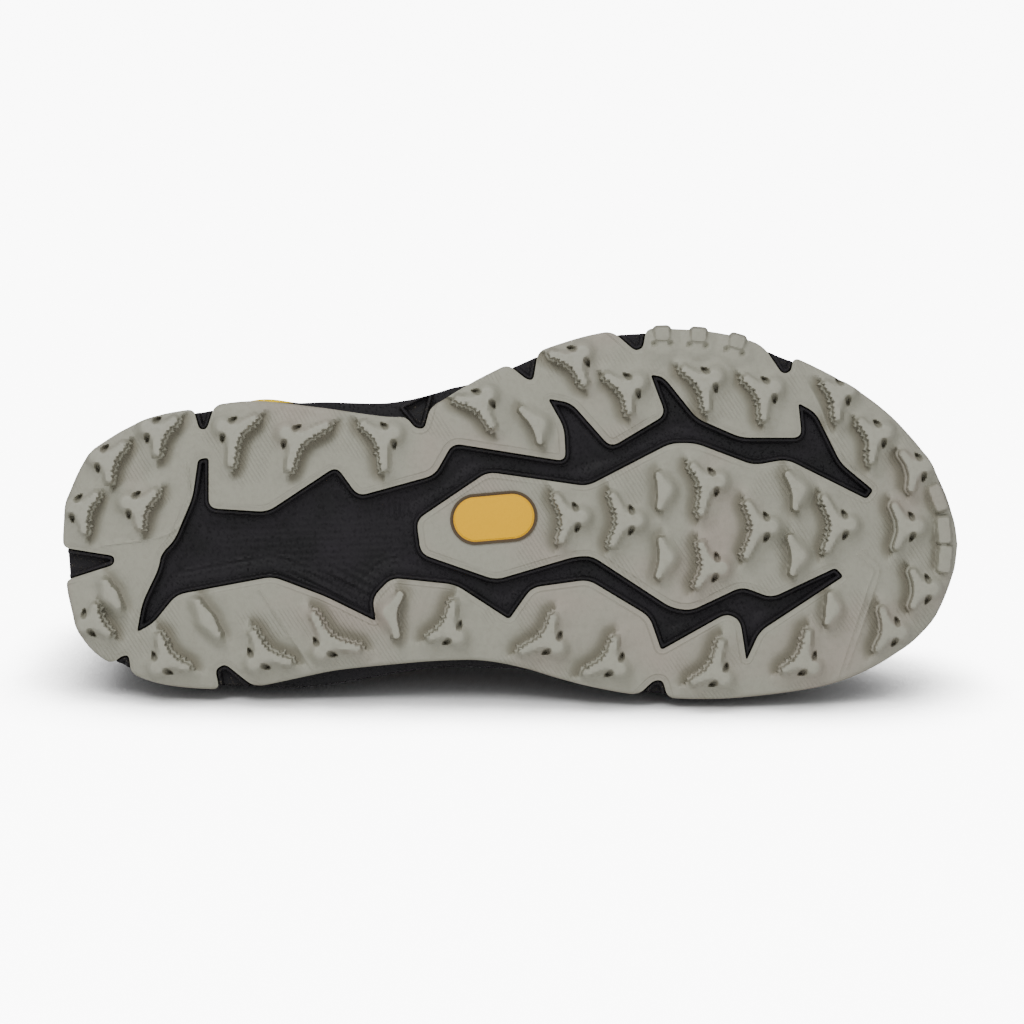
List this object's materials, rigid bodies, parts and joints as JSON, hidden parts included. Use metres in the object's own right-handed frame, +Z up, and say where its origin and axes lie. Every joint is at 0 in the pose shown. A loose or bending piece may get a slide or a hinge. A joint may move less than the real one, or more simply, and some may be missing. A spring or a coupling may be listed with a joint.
{
  "type": "trail running shoe",
  "caption": "Right trail running shoe lying on its inner side: lugged rubber outsole with a winding channel, foam midsole, hollow upper open at the collar, tongue and crossed lace.",
  "frame": {"origin": "middle of the box that holds the shoe, on the surface that it lies on", "axes": "+X from heel to toe, +Z up with the shoe on its inner side, -Y the way that the sole faces, leaned about 13 degrees upward"},
  "size_m": [0.2916, 0.1272, 0.1206],
  "materials": {
    "outsole_rubber": "matt moulded rubber, warm grey",
    "inset_yellow": "satin yellow plug with a dark rim",
    "midsole_foam": "moulded foam, near black",
    "insole_foam": "brushed textile on foam",
    "upper_mesh": "engineered mesh, near black",
    "overlay_film": "bonded film, satin black",
    "lining_knit": "soft knit, charcoal",
    "lace_weave": "flat woven lace, black"
  },
  "bodies": {
    "root": {"outsole": "outsole_rubber", "sole_inset": "inset_yellow", "midsole": "midsole_foam", "insole": "insole_foam", "upper": "upper_mesh", "toe_cap": "overlay_film", "heel_counter": "overlay_film", "eyestay_outer": "overlay_film", "eyestay_inner": "overlay_film", "tongue": "lining_knit", "collar_padding": "lining_knit", "laces": "lace_weave"}
  },
  "joints": []
}
